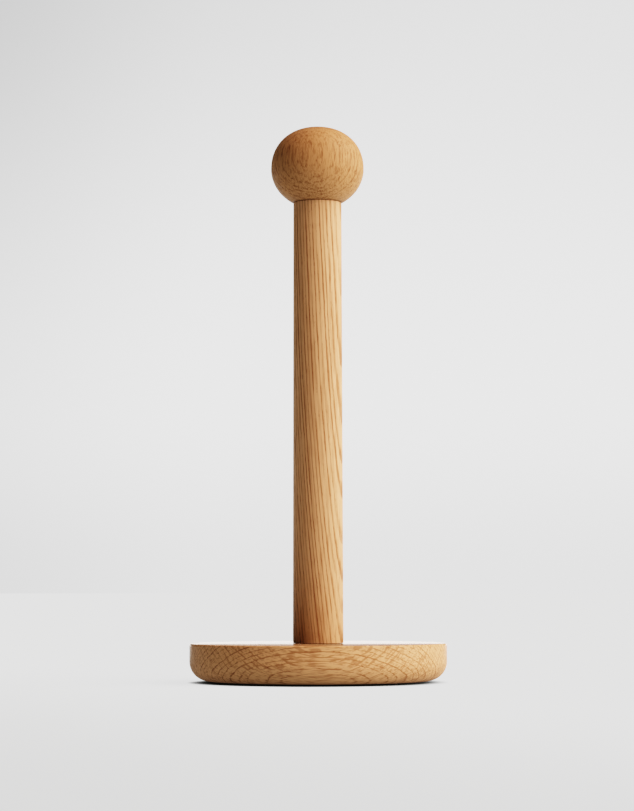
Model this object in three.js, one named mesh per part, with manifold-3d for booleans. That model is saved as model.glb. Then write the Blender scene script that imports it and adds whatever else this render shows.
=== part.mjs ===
// Paper towel holder in turned oak: a round base with a rounded underside, an upright
// post that holds the roll, and an egg-shaped knob that lifts off so a roll can go on.
// Millimetres, +Z up. The origin is on the post's axis, at the level the feet stand on.

import * as THREE from "three";
import { mergeVertices } from "three/addons/utils/BufferGeometryUtils.js";
import Module from "manifold-3d";

// ---------------------------------------------------------------- driving dimensions

// Clearances.
const SEAT_GAP = 0.1; // between two faces that rest on each other
const FIT_GAP = 0.3; // round a pin in its bore, and at the end of a blind bore
const DRIVE_GAP = 0.4; // round a bolt or a screw in a hole that only passes it

// Base disc.
const BASE_DIAMETER = 156;
const BASE_THICKNESS = 22.6;
const BASE_BOTTOM_ROUND = 12;
const BASE_TOP_ROUND = 1.1;

// Feet, let into the underside.
const FOOT_COUNT = 4;
const FOOT_DIAMETER = 12;
const FOOT_STAND = 1; // how far a foot stands out below the base
const FOOT_SINK = 1.6; // how deep its recess is
const FOOT_MARGIN = 1.7; // wood between a foot's recess and the edge of the flat underside
const FOOT_BEVEL = 0.5;

// Post.
const POST_LENGTH = 269; // from the base's top to the knob's seat
const POST_FOOT_DIAMETER = 30.6;
const POST_HEAD_DIAMETER = 29.6;
const POST_HEAD_ROUND = 0.6;
const SPIGOT_DIAMETER = 20;
const SPIGOT_LENGTH = 8;
const SPIGOT_BEVEL = 0.8;

// Knob: an ellipse below its widest plane, and a slightly fuller curve above it.
const KNOB_DIAMETER = 56.8;
const KNOB_CROWN = 26; // from the widest plane to the top
const KNOB_DROP = 20.5; // from the widest plane down to the seat
const KNOB_OVERHANG = 0.6; // how far the knob's seat reaches past the post's head all round
const KNOB_CROWN_POWER = 2.17; // 2 would be an ellipse

// Peg that carries the knob.
const PEG_DIAMETER = 12;
const PEG_IN_KNOB = 20;
const PEG_IN_POST = 35;
const PEG_BEVEL = 1.2;

// Fixing of the post: a bolt from below into a threaded insert.
const BOLT_DIAMETER = 8;
const BOLT_ENGAGEMENT = 15; // how far it runs into the insert
const BOLT_TIP_BEVEL = 1;
const BOLT_HEAD_DIAMETER = 14;
const BOLT_FACE_DIAMETER = 8.4; // the flat in the middle of the domed head
const BOLT_HEAD_HEIGHT = 4.4;
const BOLT_KEY = 5; // across the flats of the hexagon socket
const BOLT_KEY_DEPTH = 2.6;
const WASHER_DIAMETER = 24;
const WASHER_THICKNESS = 2;
const WASHER_BEVEL = 0.2;
const WASHER_SINK = 3; // depth of the washer's counterbore above the ballast's recess
const INSERT_WALL = 2;
const INSERT_LENGTH = 20;
const INSERT_SETBACK = 0.5; // how far it sits inside the spigot's end

// Ballast plate under the base.
const RECESS_WALL = 3.5; // wood between the plate's recess and a foot's recess
const BALLAST_THICKNESS = 5;
const BALLAST_SINK = 0.5; // how far its face lies above the base's underside
const BALLAST_BEVEL = 0.5;
const WASHER_ROOM = 4; // the plate's bore clears the washer by this all round

// Screws that hold the ballast plate.
const SCREW_COUNT = 3;
const SCREW_DIAMETER = 3.5;
const SCREW_LENGTH = 14;
const SCREW_HEAD_DIAMETER = 7;
const SCREW_HEAD_SINK = 0.1; // how far the head lies inside the plate's face
const SCREW_POINT = 3.5;
const SCREW_SLOT_WIDTH = 1;
const SCREW_SLOT_DEPTH = 1;

// Fineness of the turned shapes.
const SIDES_LARGE = 72;
const SIDES_MIDDLE = 48;
const SIDES_SMALL = 24;
const CUT_OVERRUN = 2; // how far a cutter runs past the face it opens

// ---------------------------------------------------------------- derived places

const baseRadius = BASE_DIAMETER / 2;
const baseBottom = FOOT_STAND;
const baseTop = baseBottom + BASE_THICKNESS;
const flatRadius = baseRadius - BASE_BOTTOM_ROUND;
const footRecessRadius = FOOT_DIAMETER / 2 + FIT_GAP;
const footCircle = flatRadius - FOOT_MARGIN - footRecessRadius;

const ballastBottom = baseBottom + BALLAST_SINK;
const ballastTop = ballastBottom + BALLAST_THICKNESS;
const ballastFloor = ballastTop + SEAT_GAP;
const ballastDiameter = 2 * (footCircle - footRecessRadius - RECESS_WALL - FIT_GAP);
const ballastBore = WASHER_DIAMETER + 2 * WASHER_ROOM;

const screwCircle = (ballastBore + ballastDiameter) / 4;
const screwHeadBottom = ballastBottom + SCREW_HEAD_SINK;
const screwHeadTop = screwHeadBottom + (SCREW_HEAD_DIAMETER - SCREW_DIAMETER) / 2;
const screwTip = screwHeadBottom + SCREW_LENGTH;

const washerFloor = ballastFloor + WASHER_SINK;
const washerTop = washerFloor - SEAT_GAP;
const washerBottom = washerTop - WASHER_THICKNESS;
const boltHeadTop = washerBottom - SEAT_GAP;
const boltHeadBottom = boltHeadTop - BOLT_HEAD_HEIGHT;

const postBottom = baseTop + SEAT_GAP;
const postTop = postBottom + POST_LENGTH;
const spigotBottom = postBottom - SPIGOT_LENGTH;
const insertBottom = spigotBottom + INSERT_SETBACK;
const insertTop = insertBottom + INSERT_LENGTH;
const insertHole = BOLT_DIAMETER + 2 * FIT_GAP;
const insertDiameter = insertHole + 2 * INSERT_WALL;
const boltTip = insertBottom + BOLT_ENGAGEMENT;

const knobSeat = postTop + SEAT_GAP;
const knobMiddle = knobSeat + KNOB_DROP;
const pegBottom = postTop - PEG_IN_POST;
const pegTop = knobSeat + PEG_IN_KNOB;

// ---------------------------------------------------------------- shape helpers

const wasm = await Module();
wasm.setup();

// A solid of revolution from [radius, height] points that run from the axis, outwards
// and upwards, back to the axis.
function turned(points, sides) {
  const profile = points.map(([radius, height]) => new THREE.Vector2(radius, height));
  return new THREE.LatheGeometry(profile, sides).rotateX(Math.PI / 2);
}

// A plain round bar between two heights.
function bar(diameter, low, high, sides) {
  const radius = diameter / 2;
  return turned([[0, low], [radius, low], [radius, high], [0, high]], sides);
}

// A round bar whose two rims are bevelled.
function bevelledBar(diameter, low, high, bevel, sides) {
  const radius = diameter / 2;
  return turned(
    [
      [0, low],
      [radius - bevel, low],
      [radius, low + bevel],
      [radius, high - bevel],
      [radius - bevel, high],
      [0, high],
    ],
    sides,
  );
}

// An upright hexagonal prism, measured across its flats.
function hexagonBar(acrossFlats, low, high) {
  return bar(acrossFlats / Math.cos(Math.PI / 6), low, high, 6);
}

// Points on a quarter circle about (radius, height), between two angles in degrees.
function arc(centreRadius, centreHeight, size, from, to, steps) {
  return Array.from({ length: steps + 1 }, (_, i) => {
    const angle = THREE.MathUtils.degToRad(from + ((to - from) * i) / steps);
    return [centreRadius + size * Math.cos(angle), centreHeight + size * Math.sin(angle)];
  });
}

function solid(geometry) {
  const plain = geometry.index ? geometry.toNonIndexed() : geometry.clone();
  plain.deleteAttribute("normal");
  plain.deleteAttribute("uv");
  const merged = mergeVertices(plain, 1e-4);
  return new wasm.Manifold(
    new wasm.Mesh({
      numProp: 3,
      vertProperties: merged.getAttribute("position").array,
      triVerts: new Uint32Array(merged.index.array),
    }),
  );
}

// A body less a list of cutters.
function cut(body, cutters) {
  const result = cutters.reduce((left, tool) => left.subtract(solid(tool)), solid(body));
  const mesh = result.getMesh();
  const geometry = new THREE.BufferGeometry();
  geometry.setAttribute("position", new THREE.BufferAttribute(mesh.vertProperties, 3));
  geometry.setIndex(new THREE.BufferAttribute(mesh.triVerts, 1));
  geometry.computeVertexNormals();
  return geometry;
}

// The places of a ring of equal pieces, the first at the given angle in degrees.
function ring(count, radius, firstAngle) {
  return Array.from({ length: count }, (_, i) => {
    const angle = THREE.MathUtils.degToRad(firstAngle + (360 * i) / count);
    return [radius * Math.cos(angle), radius * Math.sin(angle)];
  });
}

const footPlaces = ring(FOOT_COUNT, footCircle, 45);
const screwPlaces = ring(SCREW_COUNT, screwCircle, 90);

// ---------------------------------------------------------------- sub-parts

function baseDisc() {
  const outline = [
    [0, baseBottom],
    ...arc(flatRadius, baseBottom + BASE_BOTTOM_ROUND, BASE_BOTTOM_ROUND, -90, 0, 8),
    ...arc(baseRadius - BASE_TOP_ROUND, baseTop - BASE_TOP_ROUND, BASE_TOP_ROUND, 0, 90, 3),
    [0, baseTop],
  ];
  const below = baseBottom - CUT_OVERRUN;
  const spigotSocket = bar(
    SPIGOT_DIAMETER + 2 * FIT_GAP,
    spigotBottom - FIT_GAP,
    baseTop + CUT_OVERRUN,
    SIDES_MIDDLE,
  );
  const boltHole = bar(BOLT_DIAMETER + 2 * DRIVE_GAP, below, baseTop, SIDES_SMALL);
  const washerSeat = bar(WASHER_DIAMETER + 2 * DRIVE_GAP, below, washerFloor, SIDES_MIDDLE);
  const ballastRecess = bar(ballastDiameter + 2 * FIT_GAP, below, ballastFloor, SIDES_LARGE);
  const footRecesses = footPlaces.map(([x, y]) =>
    bar(2 * footRecessRadius, below, baseBottom + FOOT_SINK, SIDES_SMALL).translate(x, y, 0),
  );
  const screwHoles = screwPlaces.map(([x, y]) =>
    bar(SCREW_DIAMETER + 2 * FIT_GAP, below, screwTip + FIT_GAP, SIDES_SMALL).translate(x, y, 0),
  );
  return cut(turned(outline, SIDES_LARGE), [
    spigotSocket,
    boltHole,
    washerSeat,
    ballastRecess,
    ...footRecesses,
    ...screwHoles,
  ]);
}

function post() {
  const spigotRadius = SPIGOT_DIAMETER / 2;
  const headRadius = POST_HEAD_DIAMETER / 2;
  const outline = [
    [0, spigotBottom],
    [spigotRadius - SPIGOT_BEVEL, spigotBottom],
    [spigotRadius, spigotBottom + SPIGOT_BEVEL],
    [spigotRadius, postBottom],
    [POST_FOOT_DIAMETER / 2, postBottom],
    ...arc(headRadius - POST_HEAD_ROUND, postTop - POST_HEAD_ROUND, POST_HEAD_ROUND, 0, 90, 3),
    [0, postTop],
  ];
  const insertBore = bar(
    insertDiameter + 2 * FIT_GAP,
    spigotBottom - CUT_OVERRUN,
    insertTop + FIT_GAP,
    SIDES_SMALL,
  );
  const pegBore = bar(
    PEG_DIAMETER + 2 * FIT_GAP,
    pegBottom - FIT_GAP,
    postTop + CUT_OVERRUN,
    SIDES_SMALL,
  );
  return cut(turned(outline, SIDES_MIDDLE), [insertBore, pegBore]);
}

function knob() {
  const radius = KNOB_DIAMETER / 2;
  const seatRadius = POST_HEAD_DIAMETER / 2 + KNOB_OVERHANG;
  const lowerHalfHeight = KNOB_DROP / Math.sqrt(1 - (seatRadius / radius) ** 2);
  const seatAngle = Math.asin(KNOB_DROP / lowerHalfHeight);
  const lowerSteps = 7;
  const upperSteps = 12;
  const lower = Array.from({ length: lowerSteps }, (_, i) => {
    const angle = -seatAngle * (1 - i / lowerSteps);
    return [radius * Math.cos(angle), knobMiddle + lowerHalfHeight * Math.sin(angle)];
  });
  const upper = Array.from({ length: upperSteps }, (_, i) => {
    const angle = ((Math.PI / 2) * i) / upperSteps;
    return [
      radius * Math.cos(angle) ** (2 / KNOB_CROWN_POWER),
      knobMiddle + KNOB_CROWN * Math.sin(angle) ** (2 / KNOB_CROWN_POWER),
    ];
  });
  const outline = [[0, knobSeat], ...lower, ...upper, [0, knobMiddle + KNOB_CROWN]];
  const pegBore = bar(
    PEG_DIAMETER + 2 * FIT_GAP,
    knobSeat - CUT_OVERRUN,
    pegTop + FIT_GAP,
    SIDES_SMALL,
  );
  return cut(turned(outline, SIDES_MIDDLE), [pegBore]);
}

function knobPeg() {
  return bevelledBar(PEG_DIAMETER, pegBottom, pegTop, PEG_BEVEL, SIDES_SMALL);
}

// Button-headed bolt, with its thread as a plain shank.
function baseBolt() {
  const headRadius = BOLT_HEAD_DIAMETER / 2;
  const faceRadius = BOLT_FACE_DIAMETER / 2;
  const shankRadius = BOLT_DIAMETER / 2;
  const domeSteps = 5;
  const dome = Array.from({ length: domeSteps + 1 }, (_, i) => {
    const angle = ((Math.PI / 2) * i) / domeSteps;
    return [
      faceRadius + (headRadius - faceRadius) * Math.sin(angle),
      boltHeadBottom + BOLT_HEAD_HEIGHT * (1 - Math.cos(angle)),
    ];
  });
  const outline = [
    [0, boltHeadBottom],
    ...dome,
    [shankRadius, boltHeadTop],
    [shankRadius, boltTip - BOLT_TIP_BEVEL],
    [shankRadius - BOLT_TIP_BEVEL, boltTip],
    [0, boltTip],
  ];
  const socket = hexagonBar(
    BOLT_KEY,
    boltHeadBottom - CUT_OVERRUN,
    boltHeadBottom + BOLT_KEY_DEPTH,
  );
  return cut(turned(outline, SIDES_SMALL), [socket]);
}

function baseWasher() {
  const disc = bevelledBar(WASHER_DIAMETER, washerBottom, washerTop, WASHER_BEVEL, SIDES_MIDDLE);
  const hole = bar(
    BOLT_DIAMETER + 2 * DRIVE_GAP,
    washerBottom - CUT_OVERRUN,
    washerTop + CUT_OVERRUN,
    SIDES_SMALL,
  );
  return cut(disc, [hole]);
}

// Threaded sleeve for the bolt, with its threads as plain walls.
function postInsert() {
  const hole = bar(insertHole, insertBottom - CUT_OVERRUN, insertTop + CUT_OVERRUN, SIDES_SMALL);
  return cut(bar(insertDiameter, insertBottom, insertTop, SIDES_SMALL), [hole]);
}

function ballastPlate() {
  const low = ballastBottom - CUT_OVERRUN;
  const high = ballastTop + CUT_OVERRUN;
  const headRadius = SCREW_HEAD_DIAMETER / 2 + FIT_GAP;
  const holeRadius = SCREW_DIAMETER / 2 + FIT_GAP;
  const countersink = [
    [0, low],
    [headRadius, low],
    [headRadius, screwHeadBottom],
    [holeRadius, screwHeadTop],
    [holeRadius, high],
    [0, high],
  ];
  const screwHoles = screwPlaces.map(([x, y]) =>
    turned(countersink, SIDES_SMALL).translate(x, y, 0),
  );
  const disc = bevelledBar(ballastDiameter, ballastBottom, ballastTop, BALLAST_BEVEL, SIDES_LARGE);
  return cut(disc, [bar(ballastBore, low, high, SIDES_MIDDLE), ...screwHoles]);
}

// Countersunk wood screw with a slot, with its thread as a plain shank.
function ballastScrew([x, y]) {
  const headRadius = SCREW_HEAD_DIAMETER / 2;
  const shankRadius = SCREW_DIAMETER / 2;
  const outline = [
    [0, screwHeadBottom],
    [headRadius, screwHeadBottom],
    [shankRadius, screwHeadTop],
    [shankRadius, screwTip - SCREW_POINT],
    [0, screwTip],
  ];
  const slot = new THREE.BoxGeometry(
    SCREW_HEAD_DIAMETER + CUT_OVERRUN,
    SCREW_SLOT_WIDTH,
    2 * SCREW_SLOT_DEPTH,
  ).translate(0, 0, screwHeadBottom);
  return cut(turned(outline, SIDES_SMALL), [slot]).translate(x, y, 0);
}

// Round rubber foot, standing on the height zero.
function foot([x, y]) {
  const radius = FOOT_DIAMETER / 2;
  const top = baseBottom + FOOT_SINK - SEAT_GAP;
  const outline = [
    [0, 0],
    [radius - FOOT_BEVEL, 0],
    [radius, FOOT_BEVEL],
    [radius, top],
    [0, top],
  ];
  return turned(outline, SIDES_SMALL).translate(x, y, 0);
}

// ---------------------------------------------------------------- materials and assembly

const oak = { color: 0xc99a64, roughness: 0.55, metalness: 0 };
const knobOak = { color: 0xb98656, roughness: 0.5, metalness: 0 };
const beech = { color: 0xd8b98c, roughness: 0.6, metalness: 0 };
const zincSteel = { color: 0xb8bcc0, roughness: 0.35, metalness: 1 };
const blackSteel = { color: 0x2b2c2e, roughness: 0.5, metalness: 0.6 };
const brass = { color: 0xc9a24a, roughness: 0.35, metalness: 1 };
const rubber = { color: 0x1c1c1d, roughness: 0.85, metalness: 0 };

const holder = new THREE.Group();

function place(name, geometry, finish) {
  const mesh = new THREE.Mesh(geometry, new THREE.MeshStandardMaterial(finish));
  mesh.name = name;
  holder.add(mesh);
}

place("base_disc", baseDisc(), oak);
place("post", post(), oak);
place("knob", knob(), knobOak);
place("knob_peg", knobPeg(), beech);
place("base_bolt", baseBolt(), zincSteel);
place("base_washer", baseWasher(), zincSteel);
place("post_insert", postInsert(), brass);
place("ballast_plate", ballastPlate(), blackSteel);
screwPlaces.forEach((at, i) => place(`ballast_screw_${i + 1}`, ballastScrew(at), zincSteel));
footPlaces.forEach((at, i) => place(`foot_${i + 1}`, foot(at), rubber));

export default holder;
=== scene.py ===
# %% [markdown]
# # A turned oak paper towel holder
#
# The object is a stand for kitchen roll: a round oak base, an upright oak post that the roll
# slides over, and an egg-shaped oak knob that lifts off on a peg. A bolt from below holds the
# post, a steel plate gives the base its weight, and four rubber feet keep it off the worktop.
# The sizes come from the frame, which holds the plain solids of every piece, so this lesson
# only makes their fine surfaces and their finishes.

# %% Load the frame
import math

import bmesh
import bpy
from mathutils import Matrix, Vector


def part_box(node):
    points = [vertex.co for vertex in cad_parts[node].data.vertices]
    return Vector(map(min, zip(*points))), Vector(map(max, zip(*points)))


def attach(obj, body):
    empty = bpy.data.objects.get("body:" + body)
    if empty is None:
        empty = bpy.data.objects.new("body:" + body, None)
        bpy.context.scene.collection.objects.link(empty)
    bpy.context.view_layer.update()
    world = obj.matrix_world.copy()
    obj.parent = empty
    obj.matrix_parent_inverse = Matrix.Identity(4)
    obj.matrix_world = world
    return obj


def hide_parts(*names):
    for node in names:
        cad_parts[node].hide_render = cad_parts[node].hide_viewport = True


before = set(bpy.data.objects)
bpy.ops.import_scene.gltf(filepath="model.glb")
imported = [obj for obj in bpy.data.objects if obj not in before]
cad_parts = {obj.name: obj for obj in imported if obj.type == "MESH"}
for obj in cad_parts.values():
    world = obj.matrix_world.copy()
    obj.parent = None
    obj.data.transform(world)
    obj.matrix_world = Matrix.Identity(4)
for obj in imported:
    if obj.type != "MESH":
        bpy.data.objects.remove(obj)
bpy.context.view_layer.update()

MM = 0.001
scene = bpy.context.scene

# %% [markdown]
# ## Sizes
#
# Every piece here stands on one upright axis, so a node's box says all that is needed: its
# half width is a radius, and its lowest and highest corners are heights. The helper below
# reads those three numbers for a node, and the sizes that a box can't show, such as the
# width of a round or of a bore, are named where a piece first needs them.

# %% Read radii and heights from the frame
def measure(node):
    low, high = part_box(node)
    return (high.x - low.x) / 2, low.z, high.z


base_radius, base_low, base_high = measure("base_disc")
post_radius, spigot_low, post_high = measure("post")
knob_radius, knob_low, knob_high = measure("knob")
peg_radius, peg_low, peg_high = measure("knob_peg")
print("base", base_radius, base_low, base_high)
print("post", post_radius, spigot_low, post_high)
print("knob", knob_radius, knob_low, knob_high)

# %% [markdown]
# ## The camera
#
# The stand is looked at from a little above the worktop, from well back, with a long lens.
# From there the base shows only a sliver of its top, and the post hardly narrows as it goes
# up. The camera looks slightly upwards, to take in the knob, and leans over by a tenth of a
# degree, as a camera that was levelled by eye does.

# %% Set up the camera
CAMERA_AWAY = 1.611
CAMERA_HEIGHT = 0.0569
CAMERA_ASIDE = -0.00068
LOOK_UP = math.radians(3.948)
CAMERA_ROLL = math.radians(0.1)
LENS = 117.5
SENSOR_WIDTH = 36.0
VIEW_END = 200.0

camera_data = bpy.data.cameras.new("camera")
camera_data.lens = LENS
camera_data.sensor_width = SENSOR_WIDTH
camera_data.clip_end = VIEW_END
camera = bpy.data.objects.new("camera", camera_data)
camera.location = (CAMERA_ASIDE, -CAMERA_AWAY, CAMERA_HEIGHT)
camera.rotation_euler = (math.radians(90) + LOOK_UP, CAMERA_ROLL, 0)
scene.collection.objects.link(camera)
scene.camera = camera
print("camera", tuple(camera.location), "lens", LENS)

# %% [markdown]
# ## Helpers for modelling
#
# An operator acts on whatever is selected, and the frame's pieces come in selected, so each
# piece starts by deselecting everything. Edit mode is entered with nothing selected, and the
# faces, edges or points that the next step needs are then picked by where they are.

# %% Start a piece, pick its parts, finish it
SAME_PLACE = 1e-5


def clear_selection():
    if bpy.context.object and bpy.context.object.mode != "OBJECT":
        bpy.ops.object.mode_set(mode="OBJECT")
    bpy.ops.object.select_all(action="DESELECT")


def make_active(piece):
    clear_selection()
    piece.select_set(True)
    bpy.context.view_layer.objects.active = piece


def edit(piece):
    make_active(piece)
    bpy.ops.object.mode_set(mode="EDIT")
    bpy.ops.mesh.select_all(action="DESELECT")


def pick(kind, test):
    """Selects the points, edges or faces of the mesh in edit mode whose middle passes the test."""
    bpy.ops.mesh.select_mode(type={"verts": "VERT", "edges": "EDGE", "faces": "FACE"}[kind])
    bpy.ops.mesh.select_all(action="DESELECT")
    mesh = bmesh.from_edit_mesh(bpy.context.object.data)
    count = 0
    for part in getattr(mesh, kind):
        points = [part.co] if kind == "verts" else [v.co for v in part.verts]
        if all(test(point) for point in points):
            part.select_set(True)
            count += 1
    mesh.select_flush_mode()
    bmesh.update_edit_mesh(bpy.context.object.data)
    return count


def at_height(height):
    return lambda point: abs(point.z - height) < SAME_PLACE


def within(height, radius):
    """A test for points that lie at a height, on or inside a radius round the axis."""
    return lambda point: abs(point.z - height) < SAME_PLACE and point.xy.length < radius + SAME_PLACE


def round_off(size, steps):
    """Bevels the picked edges with a round of the given size."""
    bpy.ops.mesh.bevel(offset=size, segments=steps, profile=0.5, affect="EDGES")


def cylinder(name, radius, low, high, sides, x=0.0, y=0.0):
    clear_selection()
    bpy.ops.mesh.primitive_cylinder_add(
        vertices=sides, radius=radius, depth=high - low, location=(x, y, (low + high) / 2)
    )
    piece = bpy.context.object
    piece.name = name
    bpy.ops.object.transform_apply(location=True, rotation=True, scale=True)
    return piece


def smooth(piece, crease=35):
    """Shades the piece smooth, except at edges that turn by more than the crease angle."""
    make_active(piece)
    bpy.ops.object.shade_smooth_by_angle(angle=math.radians(crease))
    print(piece.name, len(piece.data.polygons), "faces")
    return piece


# %% [markdown]
# ## Turning with the Spin tool
#
# Wood turners and lathe workers cut a shape by its outline, and Blender's lathe is Spin: half
# of the section is drawn as a chain of edges, one extruded point after another, and swept
# once round the axis. The doubled points at the seam and on the axis are then merged, and the
# faces are made to point outwards, because a full spin can turn them in.

# %% The lathe
DOUBLED = 1e-6


def turned(name, outline, steps=96):
    """Spins an outline, given as (radius, height) points, into a closed shape."""
    clear_selection()
    bpy.ops.mesh.primitive_plane_add(size=MM)
    piece = bpy.context.object
    piece.name = name
    bpy.ops.object.mode_set(mode="EDIT")
    bpy.ops.mesh.select_mode(type="VERT")
    bpy.ops.mesh.select_all(action="SELECT")
    bpy.ops.mesh.merge(type="CENTER")
    radius, height = outline[0]
    bpy.ops.transform.translate(value=(radius, 0, height))
    for next_radius, next_height in outline[1:]:
        move = (next_radius - radius, 0, next_height - height)
        bpy.ops.mesh.extrude_region_move(TRANSFORM_OT_translate={"value": move})
        radius, height = next_radius, next_height
    bpy.ops.mesh.select_all(action="SELECT")
    bpy.ops.mesh.spin(steps=steps, angle=2 * math.pi, center=(0, 0, 0), axis=(0, 0, 1))
    bpy.ops.mesh.select_all(action="SELECT")
    bpy.ops.mesh.remove_doubles(threshold=DOUBLED)
    bpy.ops.mesh.normals_make_consistent(inside=False)
    bpy.ops.object.mode_set(mode="OBJECT")
    return piece


def arc(middle_radius, middle_height, size, start, end, steps):
    """Points on a round of the given size, between two angles in degrees."""
    points = []
    for i in range(steps + 1):
        angle = math.radians(start + (end - start) * i / steps)
        points.append((middle_radius + size * math.cos(angle), middle_height + size * math.sin(angle)))
    return points


def drill(piece, cutters):
    """Cuts other shapes out of a piece, and removes them."""
    for cutter in cutters:
        make_active(piece)
        hole = piece.modifiers.new("hole", "BOOLEAN")
        hole.object = cutter
        hole.solver = "EXACT"
        bpy.ops.object.modifier_apply(modifier=hole.name)
        bpy.data.objects.remove(cutter)


# %% [markdown]
# ## The base
#
# The real base is a disc sawn from a board, turned to a round, and given a deep round below
# so that it seems to float. It could be spun from an outline, but a cylinder with two
# bevelled rims is how a turner thinks of it: a square-cut disc, whose upper rim is barely
# broken and whose lower rim is taken off in one big quarter round.

# %% Cut the disc and round its rims
BASE_BOTTOM_ROUND = 12.0 * MM
BASE_TOP_ROUND = 1.1 * MM
BASE_SIDES = 192
DEEP_ROUND_STEPS = 20
ROUND_STEPS = 5

base = cylinder("base", base_radius, base_low, base_high, BASE_SIDES)
edit(base)
print("bottom rim edges", pick("edges", at_height(base_low)))
round_off(BASE_BOTTOM_ROUND, DEEP_ROUND_STEPS)
print("top rim edges", pick("edges", at_height(base_high)))
round_off(BASE_TOP_ROUND, ROUND_STEPS)
bpy.ops.object.mode_set(mode="OBJECT")

# %% [markdown]
# Below, the disc has three steps that fit into each other: a wide recess for the weight, a
# smaller one for the washer, and the hole that the bolt passes through. Each is an inset of
# the flat face inside the last, pushed up into the wood. Above, one inset pushed down makes
# the socket for the post's spigot, and the hole breaks through into it.

# %% Sink the recesses and the socket
FIT_GAP = 0.3 * MM
SEAT_GAP = 0.1 * MM
DRIVE_GAP = 0.4 * MM
SPIGOT_RADIUS = 10 * MM
BOLT_RADIUS = 4 * MM

plate_radius, plate_low, plate_high = measure("ballast_plate")
washer_radius, washer_low, washer_high = measure("base_washer")


def step_in(face_height, radius_now, radius_next, depth):
    """Insets the round face at a height to a smaller radius and moves it along the axis."""
    pick("faces", within(face_height, radius_now))
    bpy.ops.mesh.inset(thickness=radius_now - radius_next, depth=0)
    bpy.ops.mesh.extrude_region_move(TRANSFORM_OT_translate={"value": (0, 0, depth)})


socket_floor = spigot_low - FIT_GAP
recess_floor = plate_high + SEAT_GAP
washer_floor = washer_high + SEAT_GAP
recess_radius = plate_radius + FIT_GAP
flat_radius = base_radius - BASE_BOTTOM_ROUND
bolt_hole_radius = BOLT_RADIUS + DRIVE_GAP
socket_radius = SPIGOT_RADIUS + FIT_GAP

edit(base)
step_in(base_low, flat_radius, recess_radius, recess_floor - base_low)
step_in(recess_floor, recess_radius, washer_radius + DRIVE_GAP, washer_floor - recess_floor)
step_in(washer_floor, washer_radius + DRIVE_GAP, bolt_hole_radius, socket_floor - washer_floor)
step_in(base_high, base_radius - BASE_TOP_ROUND, socket_radius, socket_floor - base_high)

# The socket's floor and the top of the bolt's hole now lie in one plane. The floor is inset to
# the hole's size, and both round faces are deleted, which opens the way through.
in_hole = within(socket_floor, bolt_hole_radius + MM)
on_floor = at_height(socket_floor)
pick("faces", lambda point: on_floor(point) and not in_hole(point))
bpy.ops.mesh.inset(thickness=socket_radius - bolt_hole_radius, depth=0)
pick("faces", within(socket_floor, bolt_hole_radius))
bpy.ops.mesh.delete(type="FACE")
bpy.ops.mesh.select_all(action="SELECT")
bpy.ops.mesh.remove_doubles(threshold=SAME_PLACE)
bpy.ops.object.mode_set(mode="OBJECT")
print("socket floor", socket_floor, "recess floor", recess_floor)

# %% [markdown]
# The four feet and the three screws sit off the axis, so an inset can't reach them. On the
# real base they are drilled, and here they are too: each hole is a cylinder taken away by a
# Boolean modifier that is applied at once, so that the finished base is one plain mesh.

# %% Drill for the feet and the screws
FOOT_RECESS = 1.6 * MM
SCREW_RADIUS = 1.75 * MM
FOOT_HOLE_SIDES = 64
SCREW_HOLE_SIDES = 32
foot_nodes = [f"foot_{i}" for i in range(1, 5)]
screw_nodes = [f"ballast_screw_{i}" for i in range(1, 4)]


def middle_of(node):
    low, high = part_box(node)
    return (low.x + high.x) / 2, (low.y + high.y) / 2


cutters = []
for node in foot_nodes:
    x, y = middle_of(node)
    radius = measure(node)[0] + FIT_GAP
    hole_top = base_low + FOOT_RECESS
    cutters.append(cylinder("cutter", radius, base_low - MM, hole_top, FOOT_HOLE_SIDES, x, y))
for node in screw_nodes:
    x, y = middle_of(node)
    radius = SCREW_RADIUS + FIT_GAP
    hole_top = measure(node)[2] + FIT_GAP
    cutters.append(cylinder("cutter", radius, recess_floor - MM, hole_top, SCREW_HOLE_SIDES, x, y))
drill(base, cutters)
smooth(base)

# %% [markdown]
# ## The post
#
# The post is a straight round stick that is a millimetre thinner at its head, so that the
# roll's core slides on easily. A cylinder is tapered by scaling its upper rim. The foot has a
# shoulder and a spigot, which is again an inset pushed out of the face, and both ends are
# bored: from below for the threaded insert, and from above for the knob's peg.

# %% Taper the post, cut its spigot and its bores
POST_HEAD_RADIUS = 14.7 * MM
POST_HEAD_ROUND = 0.6 * MM
POST_FOOT_ROUND = 0.5 * MM
SPIGOT_BEVEL = 0.8 * MM
BORE_BEVEL = 0.5 * MM
POST_SIDES = 128
EASE_STEPS = 2

post_low = base_high + SEAT_GAP
insert_radius, insert_low, insert_high = measure("post_insert")
peg_bore = peg_radius + FIT_GAP
insert_bore = insert_radius + FIT_GAP

post = cylinder("upright", post_radius, post_low, post_high, POST_SIDES)
edit(post)
pick("verts", at_height(post_high))
taper = POST_HEAD_RADIUS / post_radius
bpy.ops.transform.resize(value=(taper, taper, 1), center_override=(0, 0, post_high))
pick("edges", at_height(post_high))
round_off(POST_HEAD_ROUND, ROUND_STEPS)
pick("edges", at_height(post_low))
round_off(POST_FOOT_ROUND, EASE_STEPS)
step_in(post_low, post_radius - POST_FOOT_ROUND, SPIGOT_RADIUS, spigot_low - post_low)
pick("edges", at_height(spigot_low))
round_off(SPIGOT_BEVEL, EASE_STEPS)
step_in(spigot_low, SPIGOT_RADIUS - SPIGOT_BEVEL, insert_bore, insert_high + FIT_GAP - spigot_low)
step_in(post_high, POST_HEAD_RADIUS - POST_HEAD_ROUND, peg_bore, peg_low - FIT_GAP - post_high)
pick("edges", within(post_high, peg_bore + SEAT_GAP))
round_off(BORE_BEVEL, EASE_STEPS)
bpy.ops.object.mode_set(mode="OBJECT")
smooth(post)

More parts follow.
